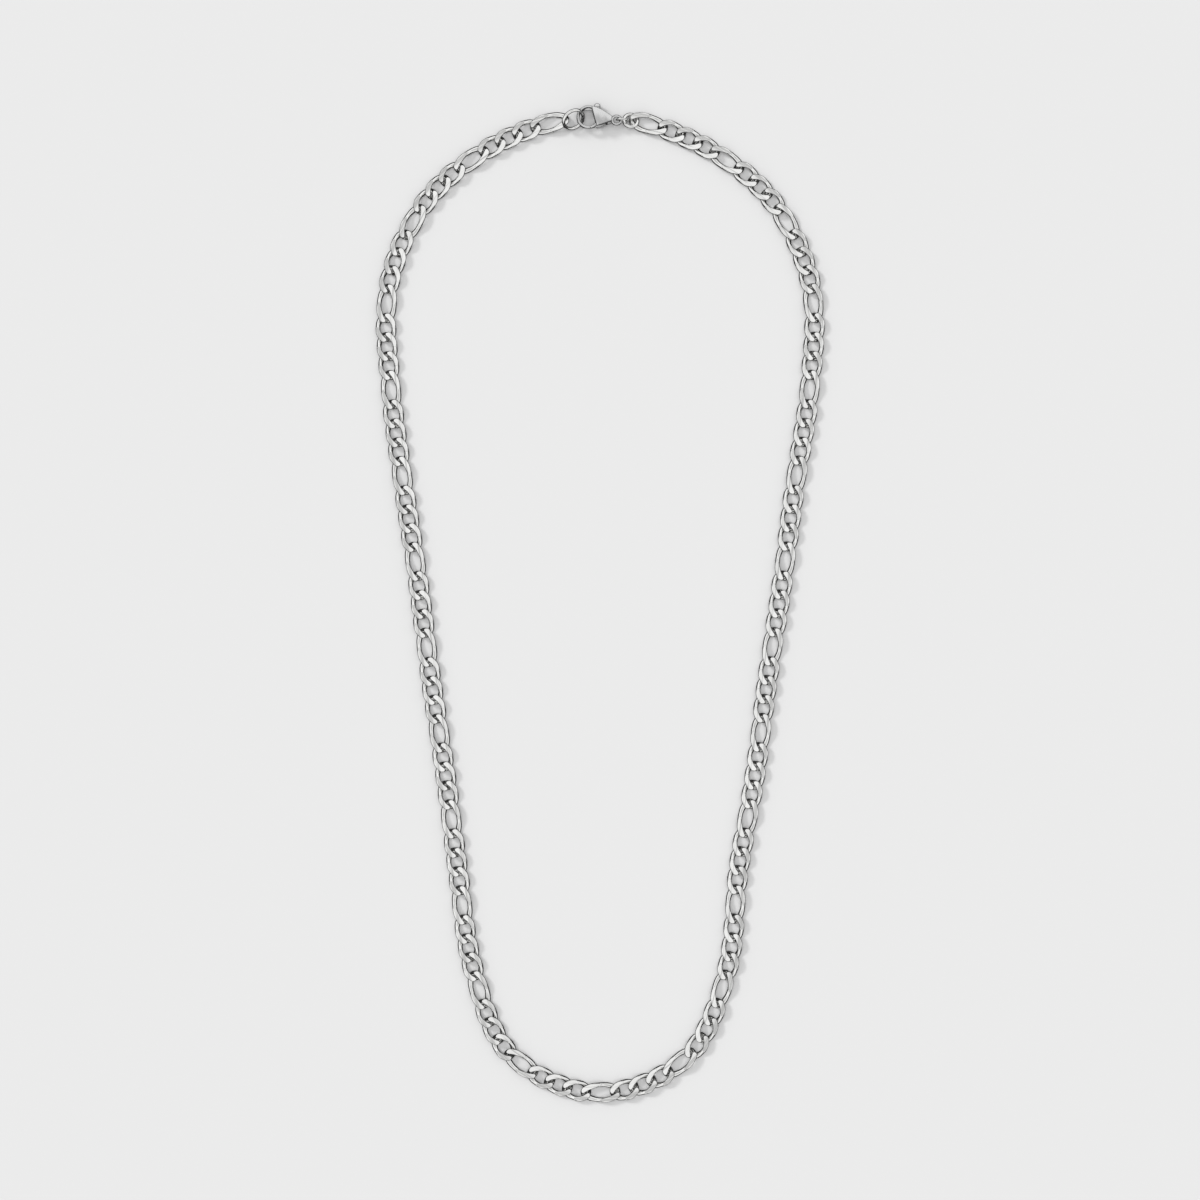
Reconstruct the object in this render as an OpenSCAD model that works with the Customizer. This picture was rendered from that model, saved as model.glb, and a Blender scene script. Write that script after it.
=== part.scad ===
// Figaro neck chain lying flat as a closed loop: three short twisted links
// between each two long ones, a plain end ring and a lobster clasp.
// Millimetres. +X right, +Y towards the clasp, +Z up, the surface is z = 0.

/* [Chain] */
// width of a short link, across the chain
link_w = 4.9; // [3.5:0.1:8]
// width of a long link, across the chain
long_w = 4.7; // [3.5:0.1:8]
// thickness of the round wire that the links are made of
wire_d = 1.1; // [0.6:0.05:1.6]
// length of the hole of a short link
short_in = 4.83; // [3.8:0.1:8]
// length of the hole of a long link
long_in = 7.31; // [5:0.1:12]
// end play of one link in the next
play = 0.3; // [0.25:0.05:0.8]
// twist of each end of a link, which lets the chain lie flat
twist = 46; // [42:1:50]
// thickness of the chain where its top and bottom are ground flat
flat_t = 1.6; // [1.2:0.1:3]
// how square the ends of a link are, 2 is a plain oval
squareness = 2.6; // [2.2:0.1:3]
// number of long links
long_n = 27; // [15:1:40]
// number of short links between two long ones
short_n = 3; // [1:1:5]

/* [Rings] */
// end play of the end ring in the chain's last link, seen from above
end_play = -0.07; // [-0.12:0.01:0.8]
// end play of the end ring on the hook, seen from above
hook_play = 0.72; // [0.66:0.01:1.3]
// end play of the round link in the chain's first link, seen from above
tail_play = 0.45; // [0.4:0.01:1.2]
// outer diameter of the end ring that the clasp holds
end_ring_d = 5.9; // [4.6:0.1:8]
// wire of the end ring
end_ring_wire = 0.81; // [0.6:0.01:1.2]
// slope at which the end ring leans on the hook
end_ring_lean = 49.5; // [40:0.5:52]
// slope of the end ring down towards the hook
end_ring_fall = 9; // [4:0.5:15]
// turn of the end ring away from the chain's line
end_ring_turn = 26; // [15:1:30]
// outer diameter of the round link at the clasp's tail
tail_ring_d = 4.06; // [4:0.02:6]
// wire of that round link
tail_ring_wire = 0.8; // [0.6:0.01:1.2]
// slope at which the round link leans
tail_ring_lean = 18; // [5:1:40]
// rise of the round link towards the clasp
tail_ring_rise = 5; // [2:0.5:15]
// turn of the round link away from the chain's line
tail_ring_turn = -6; // [-10:1:10]
// distance from the eye's middle to the round link's middle
tail_step = 3.36; // [3.2:0.02:4.5]
// outer diameter of the small upright ring in the clasp's eye
jump_ring_d = 3.24; // [3:0.02:4]
// wire of the small upright ring
jump_ring_wire = 0.43; // [0.3:0.01:0.6]
// turn of the small upright ring away from the chain's line
jump_ring_turn = -4; // [-8:1:10]

/* [Clasp] */
// outer radius of the hook
hook_r = 2.85; // [2.4:0.05:4]
// width of the hook's band, seen from above
hook_w = 0.7; // [0.6:0.05:1]
// thickness of the hook at its root
hook_root_t = 2.2; // [1.4:0.1:2.4]
// thickness of the hook at its tip
hook_tip_t = 1.1; // [1:0.1:1.4]
// thickness of the body over both cheeks
body_t = 2.4; // [2.2:0.1:3.5]
// thickness of the body at its tail
body_tail_t = 1.5; // [1:0.1:2.2]
// distance from the hook's middle to the eye's middle
clasp_reach = 6.7; // [6.2:0.1:9]
// outer radius of the eye at the tail
eye_r = 1.35; // [1.2:0.05:1.6]
// radius of the eye's hole
eye_hole_r = 0.73; // [0.6:0.05:0.8]
// thickness of the eye
eye_t = 0.9; // [0.8:0.1:1.6]
// thickness of the lever
lever_t = 1.1; // [0.8:0.1:1.2]
// gap beside the lever, and between its tip and the hook's
lever_gap = 0.1; // [0.08:0.01:0.15]
// radius of the lever's pin
pin_r = 0.3; // [0.25:0.01:0.4]
// radial clearance of the lever on its pin
pin_gap = 0.03; // [0.02:0.01:0.08]
// roll of the clasp about its length, as it lies
clasp_roll = 12; // [0:1:25]
// slope of the clasp up towards its tail
clasp_rise = 2; // [0:0.5:5]
// turn of the clasp away from the chain's line
clasp_yaw = -5; // [-8:1:8]

/* [Hidden] */
$fn = 64;

metal = [0.86, 0.86, 0.85];
dark_metal = [0.74, 0.74, 0.74];

// the middle of the chain as it lies, clockwise from the clasp
route = [[0, 115.5], [22.5, 109.5], [41, 95.5], [50.5, 74.5], [50, 51],
    [46.5, 28], [43.5, 5], [40, -18], [37, -41], [33, -64], [30.5, -87],
    [21, -108], [0, -116.5], [-21, -107.5], [-30, -86.5], [-33.5, -63.5],
    [-36.5, -40.5], [-40, -17.5], [-43, 5.5], [-46.5, 28.5], [-49.5, 51.5],
    [-50, 75], [-40.5, 96], [-22, 110]];
route_steps = 20;
route_n = len(route);

function blend(a, b, c, d, t) = 0.5 * (2 * b + (c - a) * t
    + (2 * a - 5 * b + 4 * c - d) * t * t + (3 * b - a - 3 * c + d) * t * t * t);
curve = [for (i = [0:route_n - 1]) for (k = [0:route_steps - 1])
    blend(route[(i + route_n - 1) % route_n], route[i], route[(i + 1) % route_n],
        route[(i + 2) % route_n], k / route_steps)];
curve_n = len(curve);
curve_s = [for (i = 0, s = 0; i <= curve_n;
    s = s + norm(curve[(i + 1) % curve_n] - curve[i % curve_n]), i = i + 1) s];
curve_len = curve_s[curve_n];
curve_x = [for (i = [0:curve_n]) [curve_s[i], curve[i % curve_n][0]]];
curve_y = [for (i = [0:curve_n]) [curve_s[i], curve[i % curve_n][1]]];

// steps from joint to joint along the chain
short_step = short_in - play;
long_step = long_in - play;
links_n = long_n + (long_n - 1) * short_n;
right_n = ceil(links_n / 2);
function is_long(k) = k % (short_n + 1) == 0;
function joint_s(k) = floor((k + short_n) / (short_n + 1)) * long_step
    + (k - floor((k + short_n) / (short_n + 1))) * short_step;
chain_len = joint_s(links_n);

// room along the chain inside each piece between the chain's two ends
end_ring_in = end_ring_d - 2 * end_ring_wire;
tail_ring_in = tail_ring_d - 2 * tail_ring_wire;
fastening_len = play - end_play + end_ring_in - hook_play + hook_r - hook_w
    + clasp_reach + tail_step + tail_ring_in / 2 - tail_play;

// the curve grows or shrinks so that the loop closes
grow = (chain_len + fastening_len) / curve_len;
function on_curve(s) = grow * [lookup(s / grow, curve_x), lookup(s / grow, curve_y)];
chain_from = fastening_len / 2;
function joint(k) = on_curve(chain_from + joint_s(k));

// one link: an oval ring of six-sided wire, twisted about its length
function root(v, p) = sign(v) * pow(abs(v), 2 / p);
function unit(v) = v / norm(v);
function oval(t, a, b) = let (x = root(cos(t), squareness), p = -twist * x,
    y = b * root(sin(t), squareness)) [a * x, y * cos(p), y * sin(p)];
function flat(p) = [p[0], p[1], min(max(p[2], -flat_t / 2), flat_t / 2)];
full_turn = 360;
wire_sides = 6;
side_turn = full_turn / wire_sides;
function link_points(a, b, n) = [for (i = [0:n - 1]) let (
        w = full_turn / n, t = w * i, c = oval(t, a, b),
        along = unit(oval(t + w, a, b) - oval(t - w, a, b)),
        p = -twist * c[0] / a,
        side = unit(cross(along, [0, -sin(p), cos(p)])),
        up = cross(side, along))
    for (j = [0:wire_sides - 1])
        flat(c + wire_d / 2 * (cos(side_turn * j) * side + sin(side_turn * j) * up))];
function turned(p, at, a) = [at[0] + p[0] * cos(a) - p[1] * sin(a),
    at[1] + p[0] * sin(a) + p[1] * cos(a), flat_t / 2 + p[2]];
function sides(k) = is_long(k) ? 14 : 12;
function placed_link(k) = let (from = joint(k), to = joint(k + 1),
        step = is_long(k) ? long_step : short_step,
        a = (step + play + wire_d) / 2, b = ((is_long(k) ? long_w : link_w) - wire_d) / 2,
        turn = atan2(to[1] - from[1], to[0] - from[0]))
    [for (p = link_points(a, b, sides(k))) turned(p, (from + to) / 2, turn)];
function link_faces(n, base) = [for (i = [0:n - 1]) for (j = [0:wire_sides - 1]) let (
        i2 = (i + 1) % n, j2 = (j + 1) % wire_sides,
        p = base + wire_sides * i + j, q = base + wire_sides * i + j2,
        r = base + wire_sides * i2 + j, s = base + wire_sides * i2 + j2)
    each [[p, q, s], [p, s, r]]];
function first_point(k, from) = k <= from ? 0
    : first_point(k - 1, from) + wire_sides * sides(k - 1);

chain_points = [for (k = [0:links_n - 1]) placed_link(k)];
all_points = [for (l = chain_points) each l];

// the fastening lies on the straight line between the chain's two ends
fasten_from = joint(links_n);
fasten_to = joint(0);
fasten_turn = atan2(fasten_to[1] - fasten_from[1], fasten_to[0] - fasten_from[0]);
fasten_mid = (fasten_from + fasten_to) / 2;
end_ring_x = (play - fastening_len + end_ring_in) / 2 - end_play;
hook_x = end_ring_x + end_ring_in / 2 - hook_play + hook_r - hook_w;
eye_x = hook_x + clasp_reach;
tail_ring_x = eye_x + tail_step;
jump_ring_z = jump_ring_d / 2 + 0.04;
jump_ring_x = (eye_x + (eye_r + eye_hole_r) / 2
    + tail_ring_x - (tail_ring_d - tail_ring_wire) / 2) / 2;
clasp_x = (hook_x + eye_x) / 2;
eye_y = clasp_reach / 2 * sin(clasp_yaw);
end_ring_y = 0.95 * eye_y;
jump_ring_y = 0.5 * eye_y;
tail_ring_y = 0.63 * eye_y;
end_ring_tilt = acos(cos(end_ring_lean) * cos(end_ring_fall));
end_ring_z = (end_ring_d - end_ring_wire) / 2 * sin(end_ring_tilt) + end_ring_wire / 2;
tail_ring_tilt = acos(cos(tail_ring_lean) * cos(tail_ring_rise));
tail_ring_z = (tail_ring_d - tail_ring_wire) / 2 * sin(tail_ring_tilt)
    + tail_ring_wire / 2;
cheek_top = 0.9 * hook_r;
clasp_lift = 0.1;
clasp_z = cheek_top * sin(clasp_roll) + body_t / 2 * cos(clasp_roll) + clasp_lift;

// half the width and depth of the whole, to put its middle at x = 0, y = 0
low = [min([for (p = all_points) p[0]]), min([for (p = all_points) p[1]])];
high_x = max([for (p = all_points) p[0]]);
nub_r = 0.26 * hook_r;
nub_at = hook_r * [0.62, 1.04];
nub_from_mid = [hook_x - clasp_x + nub_at[0], nub_at[1]];
high_y = fasten_mid[1] + clasp_x * sin(fasten_turn)
    + nub_from_mid[0] * cos(clasp_rise) * sin(fasten_turn + clasp_yaw)
    + nub_from_mid[1] * cos(clasp_roll) * cos(fasten_turn + clasp_yaw)
    + nub_r + lever_t / 2 * sin(clasp_roll);
middle = [(low[0] + high_x) / 2, (low[1] + high_y) / 2];

module chain_half(from, count) {
    polyhedron(
        points = [for (k = [from:from + count - 1])
            for (p = chain_points[k]) [p[0] - middle[0], p[1] - middle[1], p[2]]],
        faces = [for (k = [from:from + count - 1])
            each link_faces(sides(k), first_point(k, from))],
        convexity = 10);
}

module chain_right() {
    color(metal) chain_half(0, right_n);
}

module chain_left() {
    color(metal) chain_half(right_n, links_n - right_n);
}

module at_fastening(x, y, z) {
    translate([fasten_mid[0] - middle[0], fasten_mid[1] - middle[1], 0])
    rotate([0, 0, fasten_turn]) translate([x, y, z]) children();
}

module plain_ring(d, wire) {
    rotate_extrude() translate([(d - wire) / 2, 0]) circle(d = wire);
}

module end_ring() {
    color(metal) at_fastening(end_ring_x, end_ring_y, end_ring_z)
    rotate([end_ring_lean, end_ring_fall, end_ring_turn])
    plain_ring(end_ring_d, end_ring_wire);
}

module tail_ring() {
    color(metal) at_fastening(tail_ring_x, tail_ring_y, tail_ring_z)
    rotate([-tail_ring_lean, tail_ring_rise, tail_ring_turn])
    plain_ring(tail_ring_d, tail_ring_wire);
}

module jump_ring() {
    color(metal) at_fastening(jump_ring_x, jump_ring_y, jump_ring_z)
    rotate([90, 0, jump_ring_turn]) plain_ring(jump_ring_d, jump_ring_wire);
}

// everything of the clasp is drawn flat about the hook's middle, then laid
module laid_clasp() {
    at_fastening(clasp_x, 0, clasp_z)
    rotate([-clasp_roll, -clasp_rise, clasp_yaw]) translate([hook_x - clasp_x, 0, 0])
    children();
}

pivot = hook_r * [1.25, -0.15];
seam_at = hook_r * [0.23, -0.86];
seam_r = norm(seam_at - pivot);
slot_t = lever_t + 2 * lever_gap;
band_squareness = 3;
tail_x = clasp_reach - 0.8 * eye_r;
cheek = [[0.16 * hook_r, 0.89 * hook_r], [0.3 * hook_r, cheek_top], [0.64 * hook_r, 0.85 * hook_r],
    [hook_r, 0.72 * hook_r], [1.3 * hook_r, 0.59 * hook_r], [0.68 * clasp_reach, 1.24],
    [tail_x, 0.65], [tail_x, -0.5], [0.66 * clasp_reach, -1.15],
    [1.06 * hook_r, -0.66 * hook_r], [0.76 * hook_r, -0.81 * hook_r]];

module disc(at, r, h) {
    translate(at) cylinder(h = h, r = r, center = true);
}

module slab(points, h) {
    linear_extrude(h, center = true) polygon(points);
}

// flat-sided band with round edges, thinning from its root to its tip
module hook() {
    difference() {
        intersection() {
            rotate_extrude() translate([hook_r - hook_w / 2, 0])
                scale([hook_w / 2, hook_root_t / 2]) polygon([for (a = [0:15:345])
                    [root(cos(a), band_squareness), root(sin(a), band_squareness)]]);
            slab([[-2, -2] * hook_r, seam_at + [0, -hook_r], seam_at,
                [0.23 * hook_r, 0], [0.3 * hook_r, 2 * hook_r], [-2, 2] * hook_r], 4);
            rotate([90, 0, 90]) linear_extrude(4 * hook_r, center = true)
                polygon([[-hook_r, -hook_tip_t / 2], [hook_r, -hook_root_t / 2],
                    [hook_r, hook_root_t / 2], [-hook_r, hook_tip_t / 2]]);
        }
        disc(pivot, seam_r + lever_gap / 2, 4);
    }
}

// two cheeks, joined at the hook's root and at the tail
module cheeks() {
    intersection() {
        difference() {
            slab(cheek, body_t);
            slab([hook_r * [0.27, 1.2], [0.7 * clasp_reach, 3], [0.7 * clasp_reach, -3],
                hook_r * [-1, -1.2], hook_r * [0.27, 0.6]], slot_t);
        }
        rotate([90, 0, 0]) slab([[-1, -body_t / 2], [0.9 * hook_r, -body_t / 2],
            [clasp_reach, -body_tail_t / 2], [clasp_reach, body_tail_t / 2],
            [0.9 * hook_r, body_t / 2], [-1, body_t / 2]], 4 * hook_r);
    }
}

module clasp_body() {
    color(metal) laid_clasp() difference() {
        union() {
            hook();
            cheeks();
            disc([clasp_reach, 0], eye_r, eye_t);
        }
        disc([clasp_reach, 0], eye_hole_r, 4);
        disc(pivot, pin_r - 0.01, 4);
    }
}

// gate, in line with the hook's band
module gate() {
    intersection() {
        difference() {
            disc([0, 0], hook_r, lever_t);
            disc([0, 0], hook_r - hook_w, 4);
        }
        slab([[0, 0], [0, -1.5], [1.5, -1.5], [1.5, -0.34]] * hook_r, 4);
        disc(pivot, seam_r - lever_gap / 2, 4);
    }
}

// arm from the gate to the pin and on to the thumb piece
module clasp_lever() {
    color(dark_metal) laid_clasp() difference() {
        union() {
            gate();
            slab([[0.66, -0.74], [0.96, -0.26], [1.04, 0.04], [0.46, 0.72], [0.43, 1.02],
                [0.8, 1.02], [0.87, 0.72], [1.25, 0.23], [1.5, -0.08], [1.5, -0.4],
                [1.06, -0.63]] * hook_r, lever_t);
            disc(pivot, 0.28 * hook_r, lever_t);
            disc(nub_at, nub_r, lever_t);
        }
        disc(pivot, pin_r + pin_gap, 4);
    }
}

module lever_pin() {
    color(dark_metal) laid_clasp() disc(pivot, pin_r, body_t);
}

chain_right();
chain_left();
end_ring();
tail_ring();
jump_ring();
clasp_body();
clasp_lever();
lever_pin();
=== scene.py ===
"""Figaro neck chain lying flat as a closed loop, with its rings and lobster clasp.

Metres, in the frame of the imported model: +X right, +Y towards the clasp, +Z up, the surface is z = 0.
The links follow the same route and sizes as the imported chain, so each one lies where its solid lies.
"""

import math

import bpy
from bpy.props import FloatProperty, FloatVectorProperty, IntProperty, PointerProperty
from mathutils import Euler, Matrix, Vector


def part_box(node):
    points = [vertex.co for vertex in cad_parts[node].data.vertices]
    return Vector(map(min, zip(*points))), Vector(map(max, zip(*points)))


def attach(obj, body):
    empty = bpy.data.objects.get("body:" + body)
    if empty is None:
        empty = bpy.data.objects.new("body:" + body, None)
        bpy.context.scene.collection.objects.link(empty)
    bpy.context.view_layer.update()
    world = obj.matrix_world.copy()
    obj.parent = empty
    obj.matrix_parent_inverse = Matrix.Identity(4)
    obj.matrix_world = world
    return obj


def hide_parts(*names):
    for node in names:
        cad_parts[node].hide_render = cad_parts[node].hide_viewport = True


bl_info = {
    "name": "Figaro Neck Chain",
    "version": (1, 0, 0),
    "blender": (4, 5, 0),
    "location": "View3D > Sidebar > Neck Chain",
    "description": "Makes a figaro neck chain with its rings, its lobster clasp and a plain stage",
    "category": "Add Mesh",
}

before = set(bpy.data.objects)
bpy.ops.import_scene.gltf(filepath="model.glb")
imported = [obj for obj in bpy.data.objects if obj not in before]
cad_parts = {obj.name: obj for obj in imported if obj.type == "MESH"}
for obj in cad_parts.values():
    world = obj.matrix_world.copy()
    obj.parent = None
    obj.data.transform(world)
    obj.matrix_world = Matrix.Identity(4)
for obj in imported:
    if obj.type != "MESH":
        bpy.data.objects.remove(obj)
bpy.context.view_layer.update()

MM = 0.001

# the middle of the chain as it lies, in millimetres, clockwise from the clasp
ROUTE = [
    (0, 115.5), (22.5, 109.5), (41, 95.5), (50.5, 74.5), (50, 51), (46.5, 28), (43.5, 5), (40, -18),
    (37, -41), (33, -64), (30.5, -87), (21, -108), (0, -116.5), (-21, -107.5), (-30, -86.5),
    (-33.5, -63.5), (-36.5, -40.5), (-40, -17.5), (-43, 5.5), (-46.5, 28.5), (-49.5, 51.5),
    (-50, 75), (-40.5, 96), (-22, 110),
]
# steps of the smooth curve between two points of the route
ROUTE_STEPS = 20

# points of the clasp, as shares of the hook's outer radius from the middle of the hook
PIVOT = (1.25, -0.15)
SEAM = (0.23, -0.86)
HOOK_PART = [(-2, -2), (SEAM[0], -2), (SEAM[0], 0), (0.3, 2), (-2, 2)]
GATE_PART = [(0, 0), (0, -1.5), (1.5, -1.5), (1.5, -0.34)]
ARM = [
    (0.66, -0.74), (0.96, -0.26), (1.04, 0.04), (0.46, 0.72), (0.43, 1.02), (0.8, 1.02),
    (0.87, 0.72), (1.25, 0.23), (1.5, -0.08), (1.5, -0.4), (1.06, -0.63),
]
BOSS_R = 0.28
THUMB = (0.62, 1.04)
THUMB_R = 0.26
CHEEK_TOP = [(0.17, 0.89), (0.3, 0.9), (0.64, 0.85), (1, 0.72), (1.3, 0.59)]
CHEEK_FOOT = [(1.06, -0.66), (0.77, -0.8)]
# where the cheeks' faces begin to slope down to the tail
SLOPE_START = 0.9

# half the height of the blocks and bars that cut the clasp, in millimetres, more than the clasp has
THROUGH = 2
# how square the cut across the hook's band is; 2 is a plain oval
BAND_SQUARENESS = 2.4

# edges that turn by more than this stay sharp, in degrees
SHARP = 32

# the range of the noise that counts, and the tones and gloss at its two ends, as shares
NOISE_RANGE = (0.3, 0.7)
TONES = (0.93, 1.04)
GLOSS = (0.8, 1.25)
TONE_FINENESS = 260

# points along the wire of a short and a long link, and sides of the round wire
SHORT_POINTS = 44
LONG_POINTS = 52
WIRE_SIDES = 16

# brightness of the sky from straight below to straight above, by the angle from straight above
SKY = [
    (180, 0.06), (150, 0.05), (136, 0.03), (87, 0.03), (82, 0.45), (74, 1.0), (60, 1.1), (42, 1.05),
    (30, 0.62), (19, 0.64), (12, 1.06), (0, 1.1),
]
# the sky is a little brighter in this direction, and a little darker on the other side
UPPER_LEFT = (-0.8, 0.6, 0)
SIDE_SHADES = (0.94, 1.06)
# a patch of light below the front: its middle, where it begins and is full, and how bright it is
PATCH = (0, -0.56, -0.83)
PATCH_RANGE = (0.93, 0.98)
PATCH_LIGHT = 0.75

# each light's name, the setting for its strength, its spread in degrees and the way that it shines
LIGHTS = [
    ("key_light", "sun", 12, (0.86, -0.58, -0.68)),
    ("overhead_light", "lamp", 60, (0, 0, -1)),
]
# the camera's focal length and the width of its sensor, in millimetres
LENS = 85.0
SENSOR = 36


# sizes and colours


class ChainSizes(bpy.types.PropertyGroup):
    link_width: FloatProperty(
        name="Link Width", description="Width of a short link, in mm", default=4.9, min=3.5, max=8)
    long_width: FloatProperty(
        name="Long Width", description="Width of a long link, in mm", default=4.7, min=3.5, max=8)
    wire: FloatProperty(
        name="Wire", description="Thickness of the round wire, in mm", default=1.1, min=0.6, max=1.6)
    short_hole: FloatProperty(
        name="Short Hole", description="Length of a short link's hole, in mm", default=4.83, min=3.8, max=8)
    long_hole: FloatProperty(
        name="Long Hole", description="Length of a long link's hole, in mm", default=7.31, min=5, max=12)
    play: FloatProperty(
        name="Play", description="End play of one link in the next, in mm", default=0.3, min=0.25, max=0.8)
    twist: FloatProperty(
        name="Twist", description="Twist of each end of a link, in degrees", default=46, min=42, max=50)
    thickness: FloatProperty(
        name="Thickness", description="Chain's thickness over its ground flats, in mm",
        default=1.6, min=1.2, max=3)
    dome: FloatProperty(
        name="Dome", description="Radius of the ground flats across the chain, in mm",
        default=14, min=8, max=100)
    squareness: FloatProperty(
        name="Squareness", description="How square a link's ends are; 2 is a plain oval",
        default=2.6, min=2.2, max=3)
    pressed: FloatProperty(
        name="Pressed", description="Share by which the wire is wider where it is ground",
        default=0.27, min=0, max=0.35)
    grind: FloatProperty(
        name="Grind", description="How deep the flats lie under the full thickness, in mm",
        default=0.03, min=0, max=0.08)
    long_links: IntProperty(name="Long Links", description="Number of long links", default=27, min=15, max=40)
    short_links: IntProperty(
        name="Short Links", description="Short links between two long ones", default=3, min=1, max=5)
    edge: FloatProperty(
        name="Rim Width", description="Width of the sloping rim round a ground flat, in mm",
        default=0.12, min=0.02, max=0.2)
    fade: FloatProperty(
        name="Flat Fade", description="Length over which a flat runs out into the round wire, in mm",
        default=1.0, min=0.3, max=2)
    edge_fall: FloatProperty(
        name="Rim Fall", description="Height of the sloping rim round a ground flat, in mm",
        default=0.14, min=0, max=0.25)
    lie: FloatProperty(
        name="Lie", description="How far links may roll out of level, in degrees", default=1.6, min=0, max=2)


class RingSizes(bpy.types.PropertyGroup):
    end_play: FloatProperty(
        name="End Play", description="Play of the end ring in the last link, in mm",
        default=-0.07, min=-0.12, max=0.8)
    hook_play: FloatProperty(
        name="Hook Play", description="Play of the end ring on the hook, in mm",
        default=0.72, min=0.66, max=1.3)
    tail_play: FloatProperty(
        name="Tail Play", description="Play of the tail ring in the first link, in mm",
        default=0.45, min=0.4, max=1.2)
    tail_step: FloatProperty(
        name="Tail Step", description="From the eye's middle to the tail ring's, in mm",
        default=3.36, min=3.2, max=4.5)
    end_ring: FloatProperty(
        name="End Ring", description="Outer diameter of the end ring, in mm", default=5.9, min=4.6, max=8)
    end_ring_wire: FloatProperty(
        name="End Ring Wire", description="Wire of the end ring, in mm", default=0.81, min=0.6, max=1.2)
    end_ring_lean: FloatProperty(
        name="End Ring Lean", description="Slope of the end ring on the hook, in degrees",
        default=49.5, min=40, max=52)
    end_ring_fall: FloatProperty(
        name="End Ring Fall", description="Slope of the end ring to the hook, in degrees",
        default=9, min=4, max=15)
    end_ring_turn: FloatProperty(
        name="End Ring Turn", description="Turn of the end ring from the chain's line, in degrees",
        default=26, min=15, max=30)
    tail_ring: FloatProperty(
        name="Tail Ring", description="Outer diameter of the tail ring, in mm", default=4.06, min=4, max=6)
    tail_ring_wire: FloatProperty(
        name="Tail Ring Wire", description="Wire of the tail ring, in mm", default=0.8, min=0.6, max=1.2)
    tail_ring_lean: FloatProperty(
        name="Tail Ring Lean", description="Slope of the tail ring, in degrees", default=18, min=5, max=40)
    tail_ring_rise: FloatProperty(
        name="Tail Ring Rise", description="Rise of the tail ring to the clasp, in degrees",
        default=5, min=2, max=15)
    tail_ring_turn: FloatProperty(
        name="Tail Ring Turn", description="Turn of the tail ring from the chain's line, in degrees",
        default=-6, min=-10, max=10)
    jump_ring: FloatProperty(
        name="Jump Ring", description="Outer diameter of the jump ring, in mm", default=3.24, min=3, max=4)
    jump_ring_wire: FloatProperty(
        name="Jump Ring Wire", description="Wire of the jump ring, in mm", default=0.43, min=0.3, max=0.6)
    jump_ring_turn: FloatProperty(
        name="Jump Ring Turn", description="Turn of the jump ring from the chain's line, in degrees",
        default=-4, min=-8, max=10)
    joint_cut: FloatProperty(
        name="Joint Cut", description="Width of the bevel at the closed joint of each ring, in mm",
        default=0.05, min=0.02, max=0.1)


class ClaspSizes(bpy.types.PropertyGroup):
    hook_r: FloatProperty(
        name="Hook Radius", description="Outer radius of the hook, in mm", default=2.85, min=2.4, max=4)
    hook_w: FloatProperty(
        name="Hook Width", description="Width of the hook's band, in mm", default=0.7, min=0.6, max=1)
    root_t: FloatProperty(
        name="Root Thickness", description="Thickness of the hook's root, in mm",
        default=2.2, min=1.4, max=2.4)
    tip_t: FloatProperty(
        name="Tip Thickness", description="Thickness of the hook's tip, in mm", default=1.1, min=1, max=1.4)
    body_t: FloatProperty(
        name="Body Thickness", description="Thickness over both cheeks, in mm", default=2.4, min=2.2, max=3.5)
    tail_t: FloatProperty(
        name="Tail Thickness", description="Thickness of the body's tail, in mm", default=1.5, min=1, max=2.2)
    reach: FloatProperty(
        name="Reach", description="From the hook's middle to the eye's middle, in mm",
        default=6.7, min=6.2, max=9)
    eye_r: FloatProperty(
        name="Eye Radius", description="Outer radius of the eye, in mm", default=1.35, min=1.2, max=1.6)
    eye_hole_r: FloatProperty(
        name="Eye Hole", description="Radius of the eye's hole, in mm", default=0.73, min=0.6, max=0.8)
    eye_t: FloatProperty(
        name="Eye Thickness", description="Thickness of the eye, in mm", default=0.9, min=0.8, max=1.6)
    lever_t: FloatProperty(
        name="Lever Thickness", description="Thickness of the lever, in mm", default=1.1, min=0.8, max=1.2)
    lever_gap: FloatProperty(
        name="Lever Gap", description="Gap beside the lever and at its tip, in mm",
        default=0.1, min=0.08, max=0.15)
    pin_r: FloatProperty(
        name="Pin Radius", description="Radius of the lever's pin, in mm", default=0.3, min=0.25, max=0.4)
    pin_play: FloatProperty(
        name="Pin Play", description="Gap round the pin in the lever, in mm",
        default=0.03, min=0.02, max=0.06)
    cheek_edge: FloatProperty(
        name="Cheek Edge", description="Width of the bevel round the cheeks, in mm",
        default=0.15, min=0.05, max=0.2)
    lever_edge: FloatProperty(
        name="Lever Edge", description="Width of the bevel round the lever's arm, in mm",
        default=0.08, min=0.02, max=0.15)
    thumb_edge: FloatProperty(
        name="Thumb Edge", description="Width of the bevel round the thumb piece, in mm",
        default=0.22, min=0.05, max=0.3)
    roll: FloatProperty(
        name="Roll", description="Roll of the clasp about its length, in degrees", default=12, min=0, max=25)
    rise: FloatProperty(
        name="Rise", description="Slope of the clasp up to its tail, in degrees", default=2, min=0, max=5)
    yaw: FloatProperty(
        name="Yaw", description="Turn of the clasp away from the chain's line, in degrees",
        default=-5, min=-8, max=8)


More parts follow.
